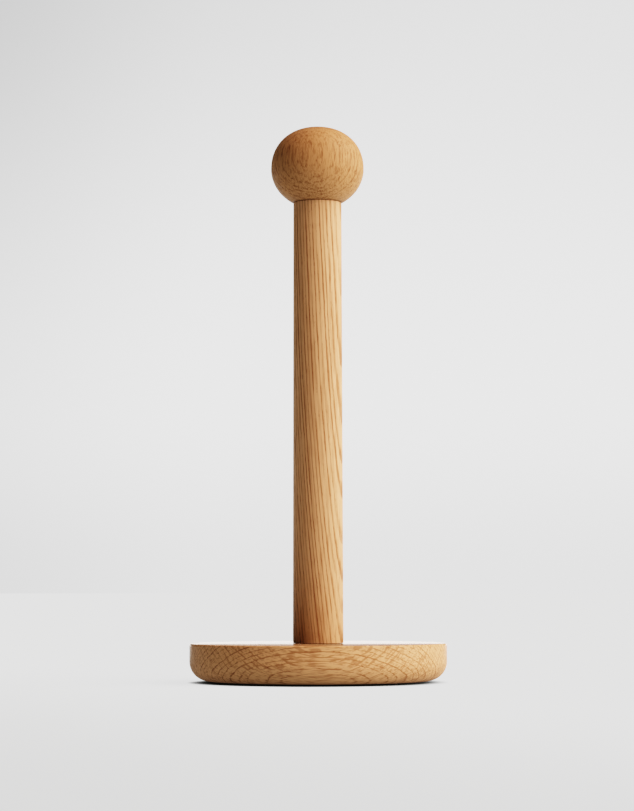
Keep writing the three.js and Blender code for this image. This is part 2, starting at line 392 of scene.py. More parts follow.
# %% [markdown]
# ## The knob
#
# The knob is the one shape with no straight line in it: fullest a little below its middle,
# with a soft crown above and a narrowing neck below that meets the post's head. That is a
# turner's outline, so it is spun. Above the widest plane the outline is a curve a little
# fuller than an ellipse, and below it is an ellipse cut off flat where it sits on the post.

# %% Spin the knob
KNOB_DROP = 20.5 * MM
KNOB_SEAT_RADIUS = 15.3 * MM
KNOB_CROWN_POWER = 2.17
KNOB_SEAT_ROUND = 0.6 * MM
LOWER_STEPS = 32
UPPER_STEPS = 48

knob_middle = knob_low + KNOB_DROP
crown = knob_high - knob_middle
lower_half = KNOB_DROP / math.sqrt(1 - (KNOB_SEAT_RADIUS / knob_radius) ** 2)
seat_angle = math.asin(KNOB_DROP / lower_half)
knob_bore_top = peg_high + FIT_GAP

outline = [
    (0, knob_bore_top),
    (peg_bore, knob_bore_top),
    (peg_bore, knob_low + BORE_BEVEL),
    (peg_bore + BORE_BEVEL, knob_low),
    (KNOB_SEAT_RADIUS - KNOB_SEAT_ROUND, knob_low),
]
for i in range(1, LOWER_STEPS):
    angle = -seat_angle * (1 - i / LOWER_STEPS)
    outline.append((knob_radius * math.cos(angle), knob_middle + lower_half * math.sin(angle)))
for i in range(UPPER_STEPS):
    angle = math.pi / 2 * i / UPPER_STEPS
    reach = math.cos(angle) ** (2 / KNOB_CROWN_POWER)
    rise = math.sin(angle) ** (2 / KNOB_CROWN_POWER)
    outline.append((knob_radius * reach, knob_middle + crown * rise))
outline.append((0, knob_high))
knob = turned("grip", outline, steps=128)
smooth(knob)

# %% [markdown]
# ## The peg
#
# A beech dowel, glued into the knob, drops into the post's bore. Its ends are eased so that
# it finds the bore without looking. Two narrow grooves near the upper end take the surplus
# glue. They could be loops of edges pinched inwards, but it is quicker to draw them in the
# outline that the lathe sweeps.

# %% Turn the peg
PEG_EASE = 1.2 * MM
GLUE_GROOVE = 0.4 * MM
GROOVES_DOWN = (12 * MM, 7 * MM)

outline = [(0, peg_low), (peg_radius - PEG_EASE, peg_low)]
outline += arc(peg_radius - PEG_EASE, peg_low + PEG_EASE, PEG_EASE, -90, 0, 5)[1:]
for down in GROOVES_DOWN:
    groove = peg_high - down
    outline += [
        (peg_radius, groove - GLUE_GROOVE),
        (peg_radius - GLUE_GROOVE, groove),
        (peg_radius, groove + GLUE_GROOVE),
    ]
outline += arc(peg_radius - PEG_EASE, peg_high - PEG_EASE, PEG_EASE, 0, 90, 5)
outline.append((0, peg_high))
peg = turned("dowel", outline, steps=64)
smooth(peg)

# %% [markdown]
# ## The bolt
#
# The bolt has a domed head with a hexagon socket, so the key reaches it through the plate.
# Its thread is drawn as rings, not as a helix: it sits inside the wood, and rings keep the
# mesh small and closed. The socket is a six-sided cylinder, cut out of the finished head.

# %% Turn the bolt and cut its socket
BOLT_FACE_RADIUS = 4.2 * MM
BOLT_HEAD_HEIGHT = 4.4 * MM
BOLT_HEAD_STEPS = 8
BOLT_NECK = 6 * MM
BOLT_POINT = 1 * MM
BOLT_THREAD = 1.25 * MM
THREAD_DEPTH = 0.6 * MM
KEY_WIDTH = 5 * MM
KEY_DEPTH = 2.6 * MM

head_radius, bolt_low, bolt_high = measure("base_bolt")
head_top = bolt_low + BOLT_HEAD_HEIGHT
outline = [(0, bolt_low)]
for i in range(BOLT_HEAD_STEPS + 1):
    angle = math.pi / 2 * i / BOLT_HEAD_STEPS
    reach = BOLT_FACE_RADIUS + (head_radius - BOLT_FACE_RADIUS) * math.sin(angle)
    rise = (BOLT_HEAD_HEIGHT - FIT_GAP) * (1 - math.cos(angle))
    outline.append((reach, bolt_low + rise))
outline += [(head_radius, head_top), (BOLT_RADIUS, head_top)]
height = head_top + BOLT_NECK
while height + BOLT_THREAD < bolt_high - BOLT_POINT:
    outline += [(BOLT_RADIUS, height), (BOLT_RADIUS - THREAD_DEPTH, height + BOLT_THREAD / 2)]
    height += BOLT_THREAD
outline += [(BOLT_RADIUS, height), (BOLT_RADIUS - BOLT_POINT, bolt_high), (0, bolt_high)]
bolt = turned("bolt", outline, steps=48)
key_radius = KEY_WIDTH / 2 / math.cos(math.radians(30))
drill(bolt, [cylinder("cutter", key_radius, bolt_low - MM, bolt_low + KEY_DEPTH, sides=6)])
smooth(bolt)

# %% [markdown]
# ## The washer and the insert
#
# The washer spreads the bolt's pull over the wood, and the insert is a brass sleeve in the
# post's foot, with a coarse outer thread that bites into the wood. Both are hollow. A tube
# could be bored with a Boolean, but it is cleaner to draw its section as an outline that
# ends where it began, off the axis, so that the lathe sweeps a closed ring.

# %% Turn the washer and the insert
WASHER_ROUND = 0.3 * MM
INSERT_BORE = BOLT_RADIUS + FIT_GAP
INSERT_THREAD = 2.5 * MM
INSERT_THREAD_DEPTH = 0.9 * MM


def ring_outline(inner, outer, low, high, ease):
    """The section of a flat ring with four eased corners, closed on itself."""
    return [
        (inner, low + ease),
        (inner + ease, low),
        (outer - ease, low),
        (outer, low + ease),
        (outer, high - ease),
        (outer - ease, high),
        (inner + ease, high),
        (inner, high - ease),
        (inner, low + ease),
    ]


outline = ring_outline(bolt_hole_radius, washer_radius, washer_low, washer_high, WASHER_ROUND)
washer = turned("washer", outline)
smooth(washer)

outline = [(INSERT_BORE, insert_high), (INSERT_BORE, insert_low), (insert_radius, insert_low)]
height = insert_low
while height + INSERT_THREAD < insert_high:
    outline += [
        (insert_radius - INSERT_THREAD_DEPTH, height + INSERT_THREAD / 2),
        (insert_radius, height + INSERT_THREAD),
    ]
    height += INSERT_THREAD
outline += [(insert_radius - INSERT_THREAD_DEPTH, insert_high), (INSERT_BORE, insert_high)]
insert = turned("insert", outline, steps=48)
smooth(insert)

# %% [markdown]
# ## The weight
#
# A steel plate with eased rims gives the light wooden stand its weight. It is a ring, so that
# the bolt stays in reach, and it is turned like the washer. Three countersunk screws hold it,
# so a turned cone, a little larger than the screw, is cut out of it at each screw's place.

# %% Turn the plate and countersink it
PLATE_ROUND = 0.6 * MM
PLATE_BORE = 16 * MM
SCREW_HEAD_RADIUS = 3.5 * MM

outline = ring_outline(PLATE_BORE, plate_radius, plate_low, plate_high, PLATE_ROUND)
plate = turned("weight", outline, steps=144)
screw_low, screw_high = measure(screw_nodes[0])[1:]
head_height = SCREW_HEAD_RADIUS - SCREW_RADIUS
outline = [
    (0, plate_low - MM),
    (SCREW_HEAD_RADIUS + FIT_GAP, plate_low - MM),
    (SCREW_HEAD_RADIUS + FIT_GAP, screw_low),
    (SCREW_RADIUS + FIT_GAP, screw_low + head_height),
    (SCREW_RADIUS + FIT_GAP, plate_high + MM),
    (0, plate_high + MM),
]
cutters = []
for node in screw_nodes:
    x, y = middle_of(node)
    cone = turned("cutter", outline, steps=48)
    cone.location = (x, y, 0)
    bpy.ops.object.transform_apply(location=True)
    cutters.append(cone)
drill(plate, cutters)
smooth(plate)

# %% [markdown]
# ## The screws
#
# Each screw has a conical head with a slot, and a thread that runs out to a point. One is
# turned, its slot is cut with a box, and the other two are copies, each with its own mesh.
# They are turned by different angles, because no two screws stop with their slots in line.

# %% Turn one screw and copy it
SCREW_RIM = 0.2 * MM
SCREW_NECK = 1.0 * MM
SCREW_THREAD = 1.4 * MM
SCREW_THREAD_DEPTH = 0.5 * MM
SCREW_TIP = 0.5 * MM
SLOT_WIDTH = 1.0 * MM
SLOT_DEPTH = 1.0 * MM
FIRST_SLOT_TURN = 50
NEXT_SLOT_TURN = 37

outline = [
    (0, screw_low),
    (SCREW_HEAD_RADIUS - SCREW_RIM, screw_low),
    (SCREW_HEAD_RADIUS, screw_low + SCREW_RIM),
    (SCREW_RADIUS, screw_low + head_height + SCREW_RIM),
]
height = screw_low + head_height + SCREW_NECK
point_length = 2 * SCREW_RADIUS
while height + SCREW_THREAD < screw_high - SCREW_TIP:
    left = min(1.0, (screw_high - height) / point_length)
    outline += [
        ((SCREW_RADIUS - SCREW_THREAD_DEPTH) * left, height),
        (SCREW_RADIUS * left, height + SCREW_THREAD / 2),
    ]
    height += SCREW_THREAD
outline.append((0, screw_high))
screw = turned("screw_1", outline, steps=48)

clear_selection()
bpy.ops.mesh.primitive_cube_add(size=1, location=(0, 0, screw_low))
slot = bpy.context.object
slot.scale = (4 * SCREW_HEAD_RADIUS, SLOT_WIDTH, 2 * SLOT_DEPTH)
bpy.ops.object.transform_apply(location=True, rotation=True, scale=True)
drill(screw, [slot])
smooth(screw)

screws = [screw]
for i in (2, 3):
    copy = screw.copy()
    copy.data = screw.data.copy()
    copy.name = f"screw_{i}"
    scene.collection.objects.link(copy)
    screws.append(copy)
for i, (piece, node) in enumerate(zip(screws, screw_nodes)):
    make_active(piece)
    x, y = middle_of(node)
    slot_turn = math.radians(FIRST_SLOT_TURN + NEXT_SLOT_TURN * i)
    bpy.ops.transform.rotate(value=slot_turn, orient_axis="Z", center_override=(0, 0, 0))
    piece.location = (x, y, 0)
    bpy.ops.object.transform_apply(location=True, rotation=True, scale=True)

# %% [markdown]
# ## The feet
#
# Each foot is a moulded rubber button, pressed into a shallow recess. Its lower rim is
# rounded, and its face is dished a little so that it grips on its edge like a sucker. One is
# spun and the other three are copies.

# %% Turn one foot and copy it
FOOT_ROUND = 0.8 * MM
FOOT_DISH = 0.25 * MM
DISH_FLAT = 0.45
DISH_RIM = 0.62
FOOT_CREASE = 50

foot_radius, foot_low, foot_high = measure(foot_nodes[0])
outline = [(0, foot_low + FOOT_DISH), (foot_radius * DISH_FLAT, foot_low + FOOT_DISH)]
outline.append((foot_radius * DISH_RIM, foot_low))
outline += arc(foot_radius - FOOT_ROUND, foot_low + FOOT_ROUND, FOOT_ROUND, -90, 0, 6)
outline += [(foot_radius, foot_high), (0, foot_high)]
foot = turned("foot", outline, steps=64)
smooth(foot, FOOT_CREASE)

feet = [foot]
for i in range(3):
    copy = foot.copy()
    copy.data = foot.data.copy()
    scene.collection.objects.link(copy)
    feet.append(copy)
for i, (piece, node) in enumerate(zip(feet, foot_nodes)):
    make_active(piece)
    x, y = middle_of(node)
    piece.name = f"rubber_foot_{i + 1}"
    piece.location = (x, y, 0)
    bpy.ops.object.transform_apply(location=True, rotation=True, scale=True)
print("feet", [piece.name for piece in feet])

# %% [markdown]
# ## Helpers for materials
#
# A material is a small graph. The first helper below adds one node, sets its options, and
# fills its inputs with either a plain value or another node's output, so that a graph reads
# like a recipe from top to bottom. The others build on it: arithmetic, ramps, mixed colours,
# noise, and node groups with named sockets, which hold what several materials share.

# %% One node at a time
def add(tree, kind, inputs=None, **options):
    item = tree.nodes.new("ShaderNode" + kind)
    for name, value in options.items():
        setattr(item, name, value)
    for key, value in (inputs or {}).items():
        if isinstance(value, bpy.types.NodeSocket):
            tree.links.new(value, item.inputs[key])
        else:
            item.inputs[key].default_value = value
    return item


def sums(tree, operation, first, second=0.0, third=0.0, clamp=False):
    values = {0: first, 1: second, 2: third}
    return add(tree, "Math", values, operation=operation, use_clamp=clamp).outputs[0]


def vector_sums(tree, operation, first, second=(0, 0, 0)):
    made = add(tree, "VectorMath", {0: first, 1: second}, operation=operation)
    return made.outputs["Value"] if operation in ("LENGTH", "DOT_PRODUCT") else made.outputs[0]


def ramp(tree, value, low, high, start=0.0, end=1.0, smooth_step=True):
    """Turns low..high into start..end, with soft ends or as a straight line."""
    made = add(
        tree,
        "MapRange",
        {"Value": value, "From Min": low, "From Max": high, "To Min": start, "To Max": end},
        interpolation_type="SMOOTHSTEP" if smooth_step else "LINEAR",
    )
    return made.outputs["Result"]


def blend_colours(tree, share, first, second, kind="MIX"):
    """Mixes two colours. A Mix node has plain inputs too, so its colours are inputs 6 and 7."""
    made = add(tree, "Mix", data_type="RGBA", blend_type=kind)
    for socket, value in ((0, share), (6, first), (7, second)):
        if isinstance(value, bpy.types.NodeSocket):
            tree.links.new(value, made.inputs[socket])
        else:
            made.inputs[socket].default_value = value
    return made.outputs[2]


def noise(tree, vector, detail=2.0, roughness=0.5):
    values = {"Vector": vector, "Scale": 1.0, "Detail": detail, "Roughness": roughness}
    return add(tree, "TexNoise", values)


def group_with(name, inputs, outputs):
    """A node group with named sockets, and its input and output nodes."""
    tree = bpy.data.node_groups.new(name, "ShaderNodeTree")
    for label, kind, value in inputs:
        socket = tree.interface.new_socket(label, in_out="INPUT", socket_type="NodeSocket" + kind)
        socket.default_value = value
    for label, kind in outputs:
        tree.interface.new_socket(label, in_out="OUTPUT", socket_type="NodeSocket" + kind)
    return tree, tree.nodes.new("NodeGroupInput").outputs, tree.nodes.new("NodeGroupOutput").inputs


def use_group(tree, group, inputs):
    item = tree.nodes.new("ShaderNodeGroup")
    item.node_tree = group
    for key, value in inputs.items():
        if isinstance(value, bpy.types.NodeSocket):
            tree.links.new(value, item.inputs[key])
        else:
            item.inputs[key].default_value = value
    return item.outputs


# %% [markdown]
# ## Oak, as a solid
#
# Wood isn't a pattern printed on a surface: it is cut out of a log, and each face shows what
# the cut went through. So the oak is a solid texture. Inside the log, distance from the pith
# gives the yearly rings. Oak is ring-porous: each ring starts with a line of wide open pores,
# which reads as a dark dotted line on end grain and as long dashes where the cut runs along
# the fibre. Rays run straight out from the pith, and show as fine stripes across the rings.
# One node group makes all of it from a position in the log, in millimetres, with Z along
# the fibre and the pith on the Z axis. A material then only says how its piece lay in the log.

# %% The oak group
SLOW_WANDER = (26, 110)
QUICK_WANDER = (3.5, 9)
UNEVEN_YEARS = 0.8
LINE_PATCHES = (1 / 3, 1 / 3, 1 / 18)
BROAD_TONE = (1 / 14, 1 / 14, 1 / 160)
RAYS_ROUND = 250.0
RAY_DEPTH = 30
RAY_LENGTH = 9


def oak_group():
    tree, given, result = group_with(
        "oak",
        [
            ("Log Position", "Vector", (0, 0, 0)),
            ("Ring Width", "Float", 3.0),
            ("Wander", "Float", 1.5),
            ("Lean", "Float", 0.0),
            ("Bow", "Float", 0.0),
            ("Line Share", "Float", 0.3),
            ("Line Strength", "Float", 0.9),
            ("Ripple", "Float", 0.3),
            ("Pore Pitch", "Float", 0.9),
            ("Pore Length", "Float", 9.0),
            ("Pore Strength", "Float", 0.8),
            ("Pore Size", "Float", 0.12),
            ("Streaks", "Float", 0.4),
            ("Streak Length", "Float", 14.0),
            ("Ray Strength", "Float", 0.5),
            ("Pale Colour", "Color", (0.6, 0.4, 0.22, 1)),
            ("Dark Colour", "Color", (0.4, 0.22, 0.1, 1)),
            ("Pore Colour", "Color", (0.15, 0.07, 0.03, 1)),
        ],
        [("Color", "Color"), ("Roughness", "Float"), ("Height", "Float")],
    )
    # The trunk leaned and was a little bowed, and the rings wander along it, slowly and finely.
    place = given["Log Position"]
    along = add(tree, "SeparateXYZ", {0: place}).outputs["Z"]
    slope = sums(tree, "MULTIPLY_ADD", along, given["Bow"], given["Lean"])
    shift = add(tree, "CombineXYZ", {"X": sums(tree, "MULTIPLY", along, slope)}).outputs[0]
    place = vector_sums(tree, "ADD", place, shift)
    for (across, lengthwise), size in ((SLOW_WANDER, given["Wander"]), (QUICK_WANDER, given["Ripple"])):
        stretch = (1 / across, 1 / across, 1 / lengthwise)
        drift = noise(tree, vector_sums(tree, "MULTIPLY", place, stretch), 2.0).outputs["Color"]
        drift = vector_sums(tree, "SUBTRACT", drift, (0.5, 0.5, 0.5))
        drift = add(tree, "VectorMath", {0: drift, "Scale": size}, operation="SCALE").outputs[0]
        place = vector_sums(tree, "ADD", place, drift)
    x, y, z = add(tree, "SeparateXYZ", {0: place}).outputs
    reach = vector_sums(tree, "LENGTH", add(tree, "CombineXYZ", {"X": x, "Y": y}).outputs[0])

    # Rings: years are wide or narrow by luck, and their lines are not equally strong.
    years = sums(tree, "DIVIDE", reach, given["Ring Width"])
    weather = {"W": sums(tree, "MULTIPLY", years, 0.45), "Scale": 1.0, "Detail": 1.0}
    luck = add(tree, "TexNoise", weather, noise_dimensions="1D")
    years = sums(tree, "MULTIPLY_ADD", luck.outputs[0], UNEVEN_YEARS, years)
    year = sums(tree, "FLOOR", years)
    season = sums(tree, "FRACT", years)
    strength = add(tree, "TexWhiteNoise", {"W": year}, noise_dimensions="1D").outputs["Value"]
    passed = sums(tree, "DIVIDE", season, given["Line Share"])
    spring = ramp(tree, passed, 0.35, 1.25, 1.0, 0.0)
    winter = ramp(tree, season, 0.94, 1.0, 0.0, 1.0)
    line = sums(tree, "MAXIMUM", spring, winter)
    line = sums(tree, "MULTIPLY", line, ramp(tree, strength, 0.0, 1.0, 0.5, 1.0))
    patches = noise(tree, vector_sums(tree, "MULTIPLY", place, LINE_PATCHES), 2.0)
    line = sums(tree, "MULTIPLY", line, ramp(tree, patches.outputs[0], 0.3, 0.6, 0.55, 1.0))

    # Pores: long thin cells, wide in the spring line and small elsewhere.
    fine = sums(tree, "DIVIDE", 1.0, given["Pore Pitch"])
    long = sums(tree, "DIVIDE", 1.0, given["Pore Length"])
    squeeze = add(tree, "CombineXYZ", {"X": fine, "Y": fine, "Z": long})
    squeezed = vector_sums(tree, "MULTIPLY", place, squeeze.outputs[0])
    cells = add(tree, "TexVoronoi", {"Vector": squeezed, "Scale": 1.0}, feature="F1")
    bore = sums(tree, "MULTIPLY_ADD", line, 0.24, given["Pore Size"])
    size = add(tree, "SeparateColor", {0: cells.outputs["Color"]}).outputs["Red"]
    bore = sums(tree, "MULTIPLY", bore, sums(tree, "MULTIPLY_ADD", size, 1.1, 0.45))
    pore = sums(tree, "SUBTRACT", bore, cells.outputs["Distance"])
    pore = ramp(tree, pore, -0.07, 0.09)

    # Fibre: fine streaks along the log.
    long = sums(tree, "DIVIDE", 1.0, given["Streak Length"])
    thin = add(tree, "CombineXYZ", {"X": 0.9, "Y": 0.9, "Z": long})
    fibre = noise(tree, vector_sums(tree, "MULTIPLY", place, thin.outputs[0]), 3.0, 0.6).outputs[0]
    tone = noise(tree, vector_sums(tree, "MULTIPLY", place, BROAD_TONE), 2.0).outputs[0]

    # Rays: thin sheets that run straight out from the pith.
    turn = sums(tree, "MULTIPLY", sums(tree, "ARCTAN2", y, x), RAYS_ROUND)
    outward = sums(tree, "MULTIPLY", reach, 1 / RAY_DEPTH)
    upward = sums(tree, "MULTIPLY", z, 1 / RAY_LENGTH)
    sheet = add(tree, "CombineXYZ", {"X": outward, "Y": turn, "Z": upward})
    ray = ramp(tree, noise(tree, sheet.outputs[0], 1.0, 0.6).outputs[0], 0.54, 0.66)
    ray = sums(tree, "MULTIPLY", ray, given["Ray Strength"])

    # Colour, roughness and height from all of these.
    shade = sums(tree, "MULTIPLY", line, given["Line Strength"])
    streak = sums(tree, "MULTIPLY", ramp(tree, fibre, 0.32, 0.68, -0.5, 0.6), given["Streaks"])
    shade = sums(tree, "ADD", shade, streak)
    shade = sums(tree, "ADD", shade, ramp(tree, tone, 0.3, 0.7, -0.12, 0.18), clamp=True)
    colour = blend_colours(tree, shade, given["Pale Colour"], given["Dark Colour"])
    colour = blend_colours(tree, sums(tree, "MULTIPLY", ray, 0.8), colour, given["Dark Colour"])
    dots = sums(tree, "MULTIPLY", pore, given["Pore Strength"])
    colour = blend_colours(tree, dots, colour, given["Pore Colour"])
    tree.links.new(colour, result["Color"])
    rough = sums(tree, "MULTIPLY_ADD", pore, 0.25, sums(tree, "MULTIPLY_ADD", fibre, 0.12, 0.46))
    tree.links.new(rough, result["Roughness"])
    height = sums(tree, "MULTIPLY_ADD", pore, -1.0, sums(tree, "MULTIPLY", fibre, 0.25))
    tree.links.new(height, result["Height"])
    return tree


oak = oak_group()
print("oak group", len(oak.nodes), "nodes")

# %% [markdown]
# ## Worn edges
#
# Edges that hands and worktops rub go a little paler, or let the metal show through paint.
# The Bevel node finds them: it rounds the surface's normal near an edge, and where that
# rounded normal parts from the true one, there is an edge. The group turns that into a mask,
# broken up by noise, for wood, metal, paint and rubber alike.

# %% The edge wear group
def edge_wear_group():
    tree, given, result = group_with(
        "edge wear",
        [("Position", "Vector", (0, 0, 0)), ("Width", "Float", 0.6), ("Amount", "Float", 0.5)],
        [("Mask", "Float")],
    )
    rounded = add(tree, "Bevel", {"Radius": sums(tree, "MULTIPLY", given["Width"], MM)}, samples=4)
    true = add(tree, "NewGeometry").outputs["Normal"]
    same = vector_sums(tree, "DOT_PRODUCT", rounded.outputs[0], true)
    edge = ramp(tree, same, 0.99, 0.8)
    rubbed = noise(tree, vector_sums(tree, "MULTIPLY", given["Position"], (0.25, 0.25, 0.25)), 3.0)
    edge = sums(tree, "MULTIPLY", edge, ramp(tree, rubbed.outputs[0], 0.35, 0.65, 0.3, 1.0))
    tree.links.new(sums(tree, "MULTIPLY", edge, given["Amount"]), result["Mask"])
    return tree


edge_wear = edge_wear_group()
print("edge wear group", len(edge_wear.nodes), "nodes")

# %% [markdown]
# ## Starting a material
#
# Every material here starts alike: a Principled shader, an output, and the piece's Object
# coordinates, which stay with the piece when it moves, so that a pattern never slides over it.
# The patterns are written in millimetres, because a maker thinks of grain in that size.

# %% A new material, places in millimetres, and bumps
TO_MM = (1000, 1000, 1000)


def new_material(name, **values):
    """A material, its graph, its shader, and the piece's own coordinates, in metres."""
    material = bpy.data.materials.new(name)
    material.use_nodes = True
    tree = material.node_tree
    tree.nodes.clear()
    shader = add(tree, "BsdfPrincipled")
    for key, value in values.items():
        shader.inputs[key.replace("_", " ")].default_value = value
    output = tree.nodes.new("ShaderNodeOutputMaterial")
    tree.links.new(shader.outputs[0], output.inputs["Surface"])
    coordinates = add(tree, "TexCoord").outputs["Object"]
    return material, tree, shader, coordinates


def in_mm(tree, coordinates):
    return vector_sums(tree, "MULTIPLY", coordinates, TO_MM)


def bump(tree, shader, height, distance, strength=1.0):
    made = add(tree, "Bump", {"Height": height, "Distance": distance, "Strength": strength})
    tree.links.new(made.outputs[0], shader.inputs["Normal"])


# %% [markdown]
# ## Three pieces of oak
#
# The base, the post and the knob come from different boards. A Mapping node turns each piece
# to the way its board lay in the log, and its place in the log sets which rings it crosses.
# The base was sawn halfway between flat and quarter: its fibre runs from side to side, and
# its rings lean back at about forty-five degrees, so its front shows long arches in the
# middle and crossed rings and rays at both sides. The post's fibre runs up it, with narrow
# years. The knob's fibre is upright too, but its rings face the front, which gives loops.
#
# In its corners, oak is lit by way of other oak, and a render makes that light too strong and
# too red. Two small helps calm it: the wood is darker and cooler to bounced light than to the
# eye, and a painted shade darkens its colour a little in narrow places, which the ambient
# occlusion node finds. Wax gives a pale sheen where a flat top is seen at a slant: it is a coat
# whose weight rises there, and only the base has it.

# %% One recipe for oak
BOUNCE_TONE = (0.26, 0.36, 0.42, 1)
CORNER_SHADE_REACH = 40 * MM
OILED = 0.08
WAXED = 0.12
RUB_WIDTH = 0.7
RUB_AMOUNT = 0.35
GRAIN_DEPTH = 0.08 * MM


def oak_material(name, turn, offset, colours, corner_shade, polish=0.0, **figure):
    """Oak by the way it lay in the log; the rest of the values are the oak group's inputs."""
    material, tree, shader, coordinates = new_material(
        name, Specular_IOR_Level=OILED, Coat_Roughness=WAXED
    )
    pale, dark, pore = colours
    board = {"Vector": coordinates, "Rotation": turn, "Location": offset, "Scale": TO_MM}
    log = add(tree, "Mapping", board).outputs[0]
    values = {key.replace("_", " "): value for key, value in figure.items()}
    values.update({"Log Position": log, "Pale Colour": pale, "Dark Colour": dark, "Pore Colour": pore})
    wood = use_group(tree, oak, values)
    rubbed = use_group(tree, edge_wear, {"Position": log, "Width": RUB_WIDTH, "Amount": RUB_AMOUNT})
    colour = blend_colours(tree, rubbed["Mask"], wood["Color"], pale)
    # Painted shade: where the ambient occlusion node finds a corner or a narrow place, the colour is
    # darkened.
    open_air = add(tree, "AmbientOcclusion", {"Distance": CORNER_SHADE_REACH}, samples=8).outputs["AO"]
    corner = ramp(tree, open_air, 0.5, 1.0, corner_shade, 1.0, smooth_step=False)
    colour = add(tree, "VectorMath", {0: colour, "Scale": corner}, operation="SCALE").outputs[0]
    seen = add(tree, "LightPath").outputs["Is Camera Ray"]
    to_other_wood = blend_colours(tree, 1.0, colour, BOUNCE_TONE, "MULTIPLY")
    colour = blend_colours(tree, seen, to_other_wood, colour)
    tree.links.new(colour, shader.inputs["Base Color"])
    tree.links.new(wood["Roughness"], shader.inputs["Roughness"])
    slant = add(tree, "LayerWeight", {"Blend": 0.5}).outputs["Facing"]
    tilt = add(tree, "SeparateXYZ", {0: add(tree, "NewGeometry").outputs["Normal"]}).outputs["Z"]
    upward = sums(tree, "MULTIPLY", ramp(tree, tilt, -0.2, 0.4), polish)
    sheen = sums(tree, "MULTIPLY", ramp(tree, slant, 0.78, 0.93), upward)
    tree.links.new(sheen, shader.inputs["Coat Weight"])
    bump(tree, shader, wood["Height"], GRAIN_DEPTH, 0.6)
    return material


# %% [markdown]
# The three boards then differ only in numbers: how each lay in the log, its colours, its
# years, and how strongly its pores, streaks and rays show. The knob's board is the brownest.
# All three were cut a quarter of a metre from the pith, where the rings are almost straight.

# %% The oaks of the base, the post and the knob
DARK_OAK = (0.38, 0.175, 0.075, 1)
OAK_PORE = (0.20, 0.08, 0.03, 1)
BASE_COLOURS = ((0.78, 0.41, 0.195, 1), DARK_OAK, OAK_PORE)
POST_COLOURS = ((0.80, 0.43, 0.215, 1), DARK_OAK, OAK_PORE)
KNOB_COLOURS = ((0.54, 0.27, 0.118, 1), (0.25, 0.11, 0.043, 1), (0.13, 0.055, 0.02, 1))
PITH_AWAY = 250.0

# The corner value given to each board sets how dark its painted corner shade goes.
base_oak = oak_material(
    "oak of the base",
    (math.radians(-43), math.radians(90), 0),
    (0, PITH_AWAY, 0),
    BASE_COLOURS,
    corner_shade=0.88,
    polish=1.0,
    Ring_Width=2.6,
    Line_Share=0.18,
    Line_Strength=1.15,
    Wander=3.0,
    Ripple=1.0,
    Pore_Pitch=0.8,
    Pore_Length=5.0,
    Pore_Size=0.08,
    Streaks=1.0,
    Streak_Length=14.0,
    Ray_Strength=0.9,
)
post_oak = oak_material(
    "oak of the post",
    (0, 0, math.radians(15)),
    (PITH_AWAY, 0, 0),
    POST_COLOURS,
    corner_shade=0.93,
    Ring_Width=2.05,
    Line_Share=0.42,
    Line_Strength=1.15,
    Wander=1.6,
    Ripple=0.4,
    Lean=0.1175,
    Bow=-0.00015,
    Pore_Pitch=0.8,
    Pore_Length=4.0,
    Pore_Strength=0.45,
    Pore_Size=0.1,
    Streaks=0.6,
    Streak_Length=40.0,
    Ray_Strength=0.15,
)
knob_oak = oak_material(
    "oak of the knob",
    (0, 0, math.radians(98.5)),
    (PITH_AWAY, 0, 0),
    KNOB_COLOURS,
    corner_shade=0.8,
    Ring_Width=2.8,
    Line_Share=0.4,
    Line_Strength=0.45,
    Wander=4.0,
    Ripple=2.2,
    Lean=0.2,
    Pore_Pitch=0.6,
    Pore_Length=4.5,
    Pore_Size=0.15,
    Pore_Strength=0.42,
    Streaks=0.9,
    Streak_Length=7.0,
    Ray_Strength=0.2,
)
print("oaks", [material.name for material in (base_oak, post_oak, knob_oak)])

# %% [markdown]
# ## Beech
#
# Beech is plain: pale and pinkish, with short brown flecks along the fibre. Stretched noise
# is enough for its grain, and the flecks are the middles of stretched cells.

# %% Beech
BEECH_GRAIN = (0.8, 0.8, 1 / 30)
BEECH_FLECKS = (1.6, 1.6, 0.4)


def beech_material():
    material, tree, shader, coordinates = new_material("beech")
    place = in_mm(tree, coordinates)
    grain = noise(tree, vector_sums(tree, "MULTIPLY", place, BEECH_GRAIN), 4.0, 0.6).outputs[0]
    along_fibre = vector_sums(tree, "MULTIPLY", place, BEECH_FLECKS)
    flecks = add(tree, "TexVoronoi", {"Vector": along_fibre, "Scale": 1.0})
    fleck = ramp(tree, flecks.outputs["Distance"], 0.12, 0.28, 1.0, 0.0)
    colour = blend_colours(tree, ramp(tree, grain, 0.3, 0.7), (0.66, 0.45, 0.27, 1), (0.52, 0.32, 0.17, 1))
    colour = blend_colours(tree, sums(tree, "MULTIPLY", fleck, 0.5), colour, (0.3, 0.15, 0.07, 1))
    tree.links.new(colour, shader.inputs["Base Color"])
    tree.links.new(ramp(tree, grain, 0.3, 0.7, 0.5, 0.62), shader.inputs["Roughness"])
    bump(tree, shader, grain, 0.05 * MM, 0.5)
    return material


beech = beech_material()
print("beech", len(beech.node_tree.nodes), "nodes")

# %% [markdown]
# ## Steel and brass
#
# The steel parts are zinc plated, which leaves a faint cloudy spangle, and brass shows the
# fine rings of the lathe. Both are one recipe with other numbers: two tones of metal in
# cloudy patches, fine rings in the roughness and the bump, and brighter metal at rubbed
# edges. It is metallic throughout, because neither metal is painted.

# %% Steel and brass
RINGS_PER_MM = 6.0


